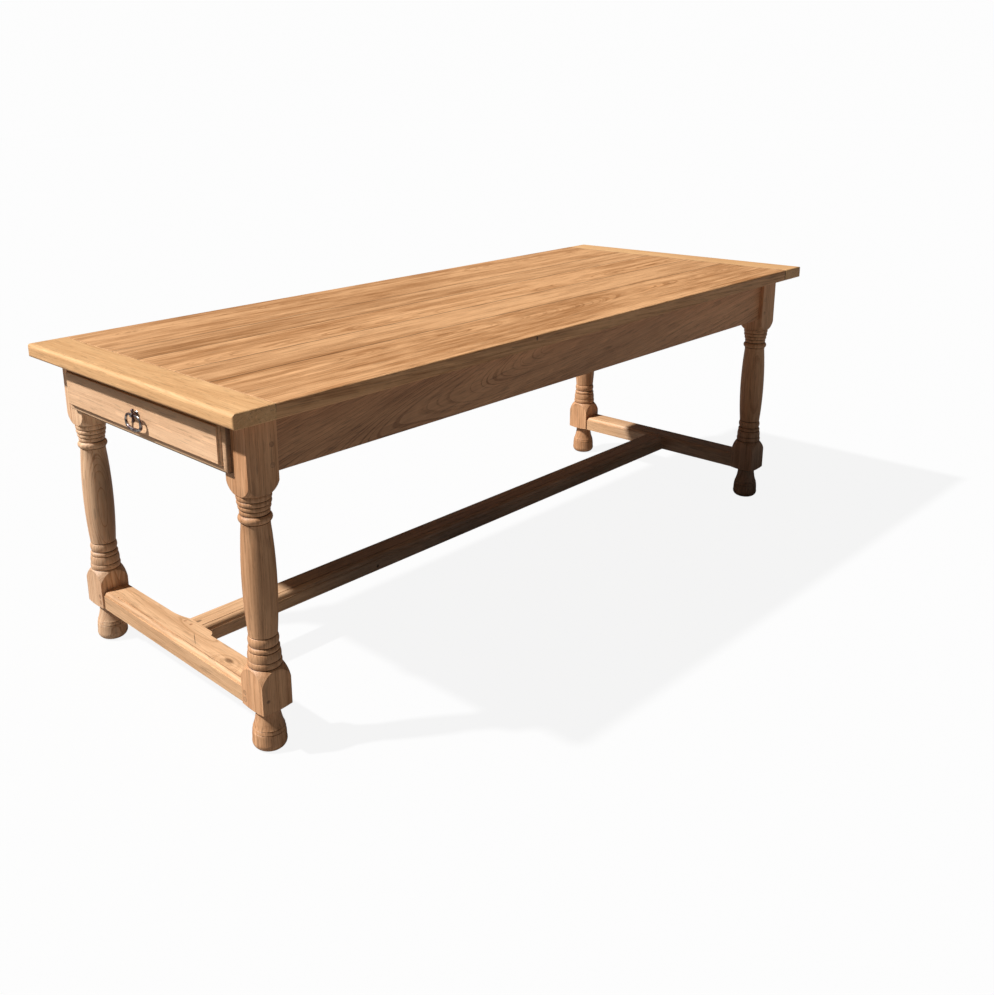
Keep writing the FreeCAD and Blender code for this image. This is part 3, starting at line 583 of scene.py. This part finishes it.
def flecks_in(tree, grain):
    """Pale flecks and dark dashes, as a factor for the colour."""
    noise = fibre_noise(tree, grain, FLECKS, 1.0).outputs["Fac"]
    dashes = math_node(tree, "MULTIPLY_ADD", smooth_step(tree, noise, *DARK_DASHES), DASH_LOSS, 1.0)
    return math_node(tree, "MULTIPLY_ADD", smooth_step(tree, noise, *PALE_FLECKS), FLECK_GAIN, dashes)


def pores_in(tree, grain, band):
    """Short pores, most of them in the band of each year."""
    pores = smooth_step(tree, fibre_noise(tree, grain, PORES, 1.0).outputs["Fac"], *PORE_EDGE)
    return math_node(tree, "MULTIPLY", pores, math_node(tree, "MULTIPLY_ADD", band, PORES_IN_BAND, PORES_EVERYWHERE))


print("streaks of", len(STREAK_SIZES), "sizes, and", PORES[1], "pores to a metre across the grain")

# %% [markdown]
# All of it comes together in one group of nodes that every wooden piece shares, because then the wood of the whole
# table can be changed in one place. The light and the dark wood are mixed by the tone, and the pores are also a
# little deeper and duller than the wood round them.

# %% The oak pattern
MIDDLE_TONE, HEART_TONE = 0.68, 0.7
PORE_LOSS, HEART_LOSS = 0.30, 0.5
ROUGHNESS, ROUGHNESS_VARIES, PORE_ROUGHNESS = 0.52, 0.25, 0.2
BAND_HEIGHT, FIBRE_HEIGHT = -0.35, 0.3
GIVEN = (("Grain", "Vector"), ("Light wood", "Color"), ("Dark wood", "Color"), ("Ring width", "Float"),
         ("Ring contrast", "Float"), ("Streaks", "Float"), ("Wander", "Float"), ("Knot", "Vector"),
         ("Knot size", "Float"))
MADE = (("Colour", "Color"), ("Roughness", "Float"), ("Height", "Float"))


def new_group(name, inputs, outputs):
    """An empty group of nodes with its sockets."""
    group = bpy.data.node_groups.new(name, "ShaderNodeTree")
    for way, sockets in (("INPUT", inputs), ("OUTPUT", outputs)):
        for socket_name, kind in sockets:
            group.interface.new_socket(socket_name, in_out=way, socket_type="NodeSocket" + kind)
    return group, group.nodes.new("NodeGroupInput").outputs, group.nodes.new("NodeGroupOutput").inputs


def one_less(tree, value, share):
    """One less a share of the value."""
    return math_node(tree, "SUBTRACT", 1.0, math_node(tree, "MULTIPLY", value, share))


def make_oak_pattern():
    """The group of nodes that all the oak shares."""
    group, given, result = new_group("oak_pattern", GIVEN, MADE)
    grain = given["Grain"]
    bulge, heart = knot_in(group, grain, given["Knot"], given["Knot size"])
    radius = math_node(group, "ADD", distance_to_pith(group, grain, given["Wander"]), bulge)
    band, strength = yearly_bands(group, grain, radius, given["Ring width"])
    rings = math_node(group, "MULTIPLY", math_node(group, "MULTIPLY", band, strength), given["Ring contrast"])
    broad, fine, streaks = streaks_in(group, grain)
    streaks = math_node(group, "MULTIPLY", streaks, given["Streaks"])
    pores = pores_in(group, grain, band)

    tone = math_node(group, "SUBTRACT", math_node(group, "ADD", streaks, MIDDLE_TONE), rings)
    tone = math_node(group, "SUBTRACT", tone, math_node(group, "MULTIPLY", heart, HEART_TONE), clamp=True)
    colour = node(group, "Mix", {"Factor": tone, "A": given["Dark wood"], "B": given["Light wood"]},
                  data_type="RGBA").outputs["Result"]
    shade = math_node(group, "MULTIPLY", one_less(group, pores, PORE_LOSS), flecks_in(group, grain))
    shade = math_node(group, "MULTIPLY", shade, one_less(group, heart, HEART_LOSS))
    group.links.new(scaled(group, colour, shade), result["Colour"])

    dull = math_node(group, "ADD", ROUGHNESS, around_zero(group, broad, ROUGHNESS_VARIES))
    dull = math_node(group, "ADD", dull, math_node(group, "MULTIPLY", pores, PORE_ROUGHNESS))
    group.links.new(dull, result["Roughness"])
    height = math_node(group, "ADD", math_node(group, "MULTIPLY", band, BAND_HEIGHT),
                       math_node(group, "MULTIPLY", fine, FIBRE_HEIGHT))
    group.links.new(math_node(group, "SUBTRACT", height, pores), result["Height"])
    return group


oak_pattern = make_oak_pattern()
print("the oak pattern takes", len(oak_pattern.nodes), "nodes")

# %% [markdown]
# An old table has marks that belong to one place only: a crack, a dark hole, a pale stain or dust in a corner. They
# could be painted by hand on a picture, but a mark in space needs none. It is a stretched ball set into the wood,
# inside which the colour is darker or paler, fully so near its middle. In a few places on this table the same kind of
# mark paints shade, and in one place a highlight. Wear is different, because it follows the shape: old wax stays dark
# in hollows, and edges are rubbed pale.

# %% Marks and wear
MARK_CORE = 0.35
ENDLESS = 9
HOLLOWS, HOLLOW_TONE = (0.455, 0.497), 0.25
EDGES, EDGE_GAIN = (0.51, 0.60), 0.14


def mark(at, half_sizes, darkness, turn=0):
    """One mark: its middle and half sizes in metres, its darkness and its turn about Z in degrees.

    The darkness is one number, below zero for a pale mark, or one each for red, green and blue.
    """
    removed = darkness if isinstance(darkness, tuple) else (darkness,) * 3
    return at, half_sizes, removed, turn


def mark_on(tree, colour, place, at, half_sizes, removed, turn):
    """The colour with one mark on it."""
    moved = vector_node(tree, "SUBTRACT", place, at)
    turned = node(tree, "Mapping", {"Vector": moved, "Rotation": (0, 0, -math.radians(turn))}).outputs[0]
    ball = length_of(tree, vector_node(tree, "DIVIDE", turned, half_sizes))
    inside = smooth_step(tree, ball, MARK_CORE, 1.0, 1.0, 0.0)
    left = vector_node(tree, "MULTIPLY_ADD", inside, [-part for part in removed], (1, 1, 1))
    return vector_node(tree, "MULTIPLY", colour, left)


def wear_on(tree, colour):
    """The colour with old wax in the hollows of a shape and rubbed edges."""
    sharp = node(tree, "NewGeometry").outputs["Pointiness"]
    hollow = smooth_step(tree, sharp, *HOLLOWS, HOLLOW_TONE, 1.0)
    edge = smooth_step(tree, sharp, *EDGES, 0.0, EDGE_GAIN)
    return scaled(tree, colour, math_node(tree, "ADD", hollow, edge))


print("a mark is full within", MARK_CORE, "of its half size")

# %% [markdown]
# Each piece was cut from its own log, so each gets its own material: the shared pattern, laid along the piece, with
# the pith at a place of its own. A pith far to the side gives straight stripes, one below the face gives arches.

# %% Wood for one piece
GRAIN_TURNS = {"X": (0, 0, 0), "Y": (0, 0, -math.pi / 2), "Z": (0, math.pi / 2, 0)}
NO_KNOT = (9.0, 9.0, 9.0)
PORE_BUMP, BUMP_STRENGTH = 0.0006, 0.3


def laid(tree, place, along, tilt):
    """A place, turned so that the grain runs along X and leans by the tilt."""
    turned = node(tree, "Mapping", {"Vector": place, "Rotation": GRAIN_TURNS[along]}).outputs[0]
    return node(tree, "Mapping", {"Vector": turned, "Rotation": (0, *tilt)}).outputs[0]


def oak(name, along, pith, light, dark, ring_width=0.005, contrast=0.5, streaks=1.0, wander=0.05, tilt=(0.0, 0.0),
        knot=None, knot_size=0.012, marks=(), worn=False):
    """Oak whose grain runs along an axis. Pith is a point of the log's centre line, knot a point in the piece."""
    material, tree, shader = new_material(name)
    place = node(tree, "TexCoord").outputs["Object"]
    pattern = node(tree, "Group", node_tree=oak_pattern)
    for key, value in {"Light wood": (*light, 1), "Dark wood": (*dark, 1), "Ring width": ring_width, "Wander": wander,
                       "Ring contrast": contrast, "Streaks": streaks, "Knot size": knot_size}.items():
        pattern.inputs[key].default_value = value
    tree.links.new(laid(tree, vector_node(tree, "SUBTRACT", place, pith), along, tilt), pattern.inputs["Grain"])
    knot_place = Vector(knot) - Vector(pith) if knot else NO_KNOT
    tree.links.new(laid(tree, knot_place, along, tilt), pattern.inputs["Knot"])
    colour = pattern.outputs["Colour"]
    for one_mark in marks:
        colour = mark_on(tree, colour, place, *one_mark)
    if worn:
        colour = wear_on(tree, colour)
    tree.links.new(colour, shader.inputs["Base Color"])
    tree.links.new(pattern.outputs["Roughness"], shader.inputs["Roughness"])
    bump = node(tree, "Bump", {"Height": pattern.outputs["Height"], "Strength": BUMP_STRENGTH, "Distance": PORE_BUMP})
    tree.links.new(bump.outputs[0], shader.inputs["Normal"])
    return material


def dress(piece, material):
    """Gives a piece its one material."""
    piece.data.materials.clear()
    piece.data.materials.append(material)
    print("  dressed", piece.name)


def middle(name, *beside):
    """The middle of a node's box, or a point beside it."""
    low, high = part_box(name)
    return (low + high) / 2 + Vector(beside or (0, 0, 0))


print("grain can run along", ", ".join(GRAIN_TURNS))

# %% [markdown]
# The five boards of the top are honey coloured from sun and wax, with strong streaks along them. Wax and dust have
# filled the joints, so each board has a dark line at its edges. The board at the right side also has a pale knot near
# its far end, a short split in its edge, and an opened joint at its far corner.

# %% Boards of the top
HONEY, HONEY_DARK = (0.87, 0.475, 0.222), (0.43, 0.18, 0.058)
JOINT_LINE, JOINT_DEPTH, JOINT_DARKNESS = 0.0024, 0.02, 0.7
JOINTS_WITHIN = 0.4
TOP_SIDE, TOP_HEIGHT = -0.42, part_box("top_board_1")[1].z
NEAR_JOINT, FAR_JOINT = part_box("breadboard_drawer_end")[1].x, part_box("breadboard_far_end")[0].x
# For each board: the pith beside its middle, the tilt of the grain and how bright the board is
TOP_BOARDS = {1: ((0, 0.03, -0.12), (0.03, 0.006), 1.0), 2: ((0, 0.17, -0.05), (-0.01, 0.004), 0.95),
              3: ((0, -0.05, -0.10), (0.035, 0.0), 1.02), 4: ((0, -0.15, -0.06), (0.01, -0.006), 0.96),
              5: ((0, 0.05, -0.13), (-0.035, 0.005), 1.0)}
RIGHT_BOARD_MARKS = [mark((-0.2226, TOP_SIDE, 0.752), (0.004, 0.008, 0.007), 0.8),
                     mark((FAR_JOINT - 0.001, TOP_SIDE, 0.742), (0.006, 0.030, 0.05), 0.8),
                     mark((0.49, -0.27, TOP_HEIGHT), (0.070, 0.022, 0.02), -0.18),
                     mark((0.475, -0.276, TOP_HEIGHT), (0.020, 0.003, 0.01), 0.5, 8),
                     mark((0.515, -0.262, TOP_HEIGHT), (0.014, 0.003, 0.01), 0.45, -12)]


def joint_line(x, y, along):
    """The dark line of wax and dust in a joint that runs along X or Y."""
    half_sizes = (ENDLESS, JOINT_LINE, JOINT_DEPTH) if along == "X" else (JOINT_LINE, ENDLESS, JOINT_DEPTH)
    return mark((x, y, TOP_HEIGHT), half_sizes, JOINT_DARKNESS)


for number, (pith, tilt, tone) in TOP_BOARDS.items():
    name = f"top_board_{number}"
    low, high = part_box(name)
    marks = [joint_line(0, y, "X") for y in (low.y, high.y) if abs(y) < JOINTS_WITHIN]
    light, dark = (tuple(channel * tone for channel in colour) for colour in (HONEY, HONEY_DARK))
    dress(nodes[name], oak(name + "_oak", "X", middle(name, *pith), light, dark, 0.0055, contrast=0.4, streaks=1.5,
                           tilt=tilt, marks=marks + (RIGHT_BOARD_MARKS if number == 5 else [])))

# %% [markdown]
# The two cross ends of the top are a little yellower, with calmer grain. At the opened joint the far one has a painted
# highlight, a pale spot on its corner.

# %% Cross ends of the top
STRAW, STRAW_DARK = (0.93, 0.555, 0.262), (0.69, 0.35, 0.14)
# Painted highlight: a pale spot on the corner of the far cross end, beside the opened joint.
painted_highlight = mark((FAR_JOINT + 0.003, TOP_SIDE, TOP_HEIGHT), (0.009, 0.020, 0.014), -0.5)
for name, pith, x, marks in (("breadboard_drawer_end", (0.05, 0.3, -0.14), NEAR_JOINT, []),
                             ("breadboard_far_end", (-0.04, -0.2, -0.12), FAR_JOINT, [painted_highlight])):
    dress(nodes[name], oak(name + "_oak", "Y", middle(name, *pith), STRAW, STRAW_DARK, contrast=0.3, streaks=0.8,
                           tilt=(0.03, 0.01), marks=[joint_line(x, 0, "Y")] + marks))

# %% [markdown]
# The frame is the same oak, a little pinker, because wax and light never reached it as much. The side aprons were
# cut across a log that leaned, which gives them steep arches and slanting lines. The right one is a little paler
# towards its far end and darker towards the drawer.

# %% Wood of the aprons
BROWN, BROWN_DARK = (0.86, 0.465, 0.24), (0.34, 0.145, 0.06)
uneven = [mark((0.9, -0.35, 0.665), (0.6, 0.1, 0.4), -0.22), mark((-0.85, -0.35, 0.665), (0.6, 0.1, 0.4), 0.12)]
for name, along, pith, tilt, marks in (("side_apron_left", "X", (0.2, 0.08, -0.05), (0.02, 0.03), []),
                                       ("side_apron_right", "X", (-0.30, 0.075, 0.0), (0.15, 0.06), uneven),
                                       ("far_apron", "Y", (-0.08, 0.1, 0.02), (0.03, 0.02), [])):
    dress(nodes[name], oak(name + "_oak", along, middle(name, *pith), BROWN, BROWN_DARK, 0.0038, contrast=0.5,
                           streaks=0.6, wander=0.06, tilt=tilt, marks=marks))

# %% [markdown]
# The stretchers are pale at the drawer end. There they have a knot, a crack that starts at the pad, and dark wax in the
# scratched lines of the moulding. Under the table and at the far end, where they lie in shade, painted shade makes them
# darker and greyer. It takes away more red than blue, so this mark has a tint.

# %% Wood of the stretchers
PALE, PALE_DARK = (0.89, 0.55, 0.305), (0.53, 0.28, 0.13)
PAINTED_SHADE = (0.40, 0.30, 0.08)

long_marks = [mark((-0.920, 0.005, 0.138), (0.011, 0.006, 0.006), 0.6),
              mark((-0.395, -0.031, 0.109), (0.006, 0.004, 0.006), 0.8),
              mark((0, -0.0165, 0.138), (ENDLESS, 0.0013, 0.005), 0.5),
              mark((0, -0.0290, 0.137), (ENDLESS, 0.0016, 0.005), 0.5),
              # Painted shade: the long stretcher darker and greyer where it lies in the table's shadow.
              mark((-0.28, 0, 0.11), (0.50, ENDLESS, ENDLESS), PAINTED_SHADE),
              mark((0.55, 0, 0.11), (0.90, ENDLESS, ENDLESS), PAINTED_SHADE),
              # Painted shade: the top of the long stretcher darker where the table's shadow falls on it.
              mark((-0.47, 0.01, 0.155), (0.36, 0.09, 0.05), 0.25)]
near_marks = [mark((-0.975, -0.065, 0.142), (0.036, 0.0012, 0.004), 0.75, 61),
              mark((-0.9955, -0.3, 0.142), (0.0016, 0.4, 0.005), 0.6)]
# Painted shade: the far stretcher darker and greyer on its shaded side.
far_marks = [mark((0.97, -0.17, 0.11), (ENDLESS, 0.40, ENDLESS), PAINTED_SHADE)]
for name, along, pith, knot, marks in (
        ("stretcher_long", "X", (0.3, 0.03, 0.09), None, long_marks),
        ("stretcher_drawer_end", "Y", (0.02, 0.1, -0.10), (-0.976, -0.200, 0.142), near_marks),
        ("stretcher_far_end", "Y", (-0.03, 0.3, -0.10), None, far_marks)):
    dress(nodes[name], oak(name + "_oak", along, middle(name, *pith), PALE, PALE_DARK, contrast=0.4, tilt=(0.02, 0.01),
                           knot=knot, knot_size=0.008, marks=marks))

# %% [markdown]
# The legs came from different logs. The left one at the drawer end is paler, with bold rings that show as long arches
# on its shaft. Wax has left a dark rim round each peg and has stayed in the hollows between the turned rings. Painted
# shade darkens the shaded side of the left leg at the drawer end, and the foot of the far right leg as on the
# stretchers.

# %% Wood of the legs
TAN_WOOD = {"light": (0.77, 0.425, 0.22), "dark": (0.42, 0.185, 0.075), "ring_width": 0.0045, "contrast": 0.35}
PALE_WOOD = {"light": (0.98, 0.65, 0.40), "dark": (0.68, 0.37, 0.20), "ring_width": 0.0035, "contrast": 1.1,
             "tilt": (0, 0.02)}
LEG_PITHS = {"leg_drawer_left": (0.015, 0.055, 0.1), "leg_drawer_right": (0.09, -0.05, 0.1),
             "leg_far_left": (0.05, -0.06, 0.1), "leg_far_right": (0.05, 0.05, 0.1)}
# Painted shade on the left leg at the drawer end: the shaded side of its shaft, and its lower block beside the
# stretcher.
LEG_MARKS = {"leg_drawer_left": [mark((-0.955, 0.285, 0.38), (0.050, 0.050, 0.30), 0.55),
                                 mark((-0.940, 0.330, 0.125), (0.060, 0.030, 0.090), 0.65),
                                 mark((-0.955, 0.370, 0.06), (ENDLESS, ENDLESS, 0.28), 0.14)],
             "leg_drawer_right": [mark((-0.997, -0.370, 0.1265), (0.006, 0.006, 0.005), 0.6)],
             # Painted shade: the foot and lower block of the far right leg, darker and greyer.
             "leg_far_right": [mark((0.951, -0.370, 0.04), (ENDLESS, ENDLESS, 0.26), PAINTED_SHADE)]}
APRON_PEG_HEIGHTS, STRETCHER_PEG_HEIGHTS = (0.664, 0.622), (0.1275, 0.1115)
PEG_RIM, RIM_DARKNESS = (0.0070, 0.0070, 0.0070), 0.85


def peg_rims(name):
    """The dark rims of wax round the pegs of one leg."""
    low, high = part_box(name)
    end = -1 if low.x < 0 else 1
    side = -1 if low.y < 0 else 1
    places = [(end * 0.951, side * 0.370, height) for height in APRON_PEG_HEIGHTS]
    places += [(end * 1.011, side * 0.307, height) for height in STRETCHER_PEG_HEIGHTS]
    if end == 1:
        places += [(1.011, side * 0.310, height) for height in APRON_PEG_HEIGHTS]
    return [mark(place, PEG_RIM, RIM_DARKNESS) for place in places]


for name, leg in legs.items():
    wood = PALE_WOOD if name == "leg_drawer_left" else TAN_WOOD
    dress(leg, oak(name + "_oak", "Z", middle(name, *LEG_PITHS[name]), **wood, wander=0.02,
                   marks=peg_rims(name) + LEG_MARKS.get(name, []), worn=True))

# %% [markdown]
# The drawer front is as bright as the cross ends of the top but rosier. It is darker along the edges of its lip, and a
# broad band at its top, under the edge of the table, is darkened by painted shade.

# %% Wood of the drawer front
ROSY, ROSY_DARK = (0.92, 0.60, 0.365), (0.64, 0.36, 0.19)
LIP_EDGE_DARKNESS, TOP_PAINTED_SHADE = 0.7, (0.62, 0.66, 0.76)

# Darker along the four edges of the lip.
lip_edges_and_painted_shade = [mark((-1.016, y, 0.667), (0.010, 0.0035, ENDLESS), LIP_EDGE_DARKNESS) for y in (front_low.y, front_high.y)]
lip_edges_and_painted_shade += [mark((-1.016, 0, z), (0.012, ENDLESS, 0.0035), LIP_EDGE_DARKNESS) for z in (front_low.z, front_high.z)]
# Painted shade: a broad darker band at the top of the front, where the edge of the table shades it.
lip_edges_and_painted_shade += [mark((-1.02, 0, 0.745), (0.045, ENDLESS, 0.075), TOP_PAINTED_SHADE)]
dress(drawer_face, oak("drawer_front_oak", "Y", middle("drawer_front", 0.05, 0.1, -0.22), ROSY, ROSY_DARK, 0.004,
                       contrast=0.28, streaks=0.75, wander=0.03, tilt=(0.02, 0.01), marks=lip_edges_and_painted_shade, worn=True))

# %% [markdown]
# What the eye seldom sees, inside the drawer and under the top, was never waxed and is paler and greyer.

# %% Wood of the hidden pieces
INSIDE, INSIDE_DARK = (0.66, 0.47, 0.29), (0.40, 0.25, 0.13)
for name, along in (("drawer_side_left", "X"), ("drawer_side_right", "X"), ("drawer_back", "Y"),
                    ("drawer_bottom", "Y"), ("drawer_rail", "Y"), ("drawer_runner_left", "X"),
                    ("drawer_runner_right", "X"), ("top_buttons", "X")):
    dress(nodes[name], oak(name + "_oak", along, middle(name, 0.02, 0.06, -0.12), INSIDE, INSIDE_DARK, contrast=0.4))

# %% [markdown]
# The pegs show only their round ends. End grain soaks up more wax than a face does, so they are a shade darker.

# %% Wood of the pegs
PEG, PEG_DARK = (0.70, 0.38, 0.20), (0.38, 0.18, 0.08)
for name, along in (("apron_pegs", "Y"), ("stretcher_pegs", "X")):
    dress(nodes[name], oak(name + "_oak", along, middle(name, 0.01, 0.01, 0.02), PEG, PEG_DARK, 0.003, streaks=1.5))

# %% [markdown]
# The pull was forged from iron and rubbed bright by hands for a hundred years. Bright iron has hardly a colour of its
# own: it shows the room. Slow noise makes some parts duller, as where fingers never reach, and very fine noise
# roughens the surface a little. The nails and screws are plain dull steel.

# %% Iron and steel
RUBBED = (0.41, 0.62)
GRIT_PER_SPOT, GRIT_HEIGHT, GRIT_STRENGTH = 12, 0.0002, 0.15


def metal(name, bright, dull, smooth, rough, spots):
    """Worn metal that changes between two colours and two roughnesses, in so many spots to a metre."""
    material, tree, shader = new_material(name)
    place = node(tree, "TexCoord").outputs["Object"]
    wear = node(tree, "TexNoise", {"Vector": place, "Scale": spots, "Detail": 3.0}).outputs["Fac"]
    wear = smooth_step(tree, wear, *RUBBED)
    colour = node(tree, "Mix", {"Factor": wear, "A": (*dull, 1), "B": (*bright, 1)}, data_type="RGBA")
    tree.links.new(colour.outputs["Result"], shader.inputs["Base Color"])
    tree.links.new(math_node(tree, "MULTIPLY_ADD", wear, smooth - rough, rough), shader.inputs["Roughness"])
    grit = node(tree, "TexNoise", {"Vector": place, "Scale": spots * GRIT_PER_SPOT, "Detail": 2.0}).outputs["Fac"]
    bump = node(tree, "Bump", {"Height": grit, "Strength": GRIT_STRENGTH, "Distance": GRIT_HEIGHT})
    tree.links.new(bump.outputs[0], shader.inputs["Normal"])
    shader.inputs["Metallic"].default_value = 1.0
    return material


pull_iron = metal("pull_iron", bright=(0.64, 0.61, 0.60), dull=(0.15, 0.10, 0.10), smooth=0.22, rough=0.42, spots=110.0)
fixing_steel = metal("fixing_steel", bright=(0.52, 0.50, 0.48), dull=(0.28, 0.25, 0.22), smooth=0.35, rough=0.55,
                     spots=200.0)
for piece in (nodes["pull_plate"], nodes["pull_post"], nodes["pull_nut"], ring):
    dress(piece, pull_iron)
for name in ("button_screws", "runner_nails", "drawer_nails"):
    dress(nodes[name], fixing_steel)
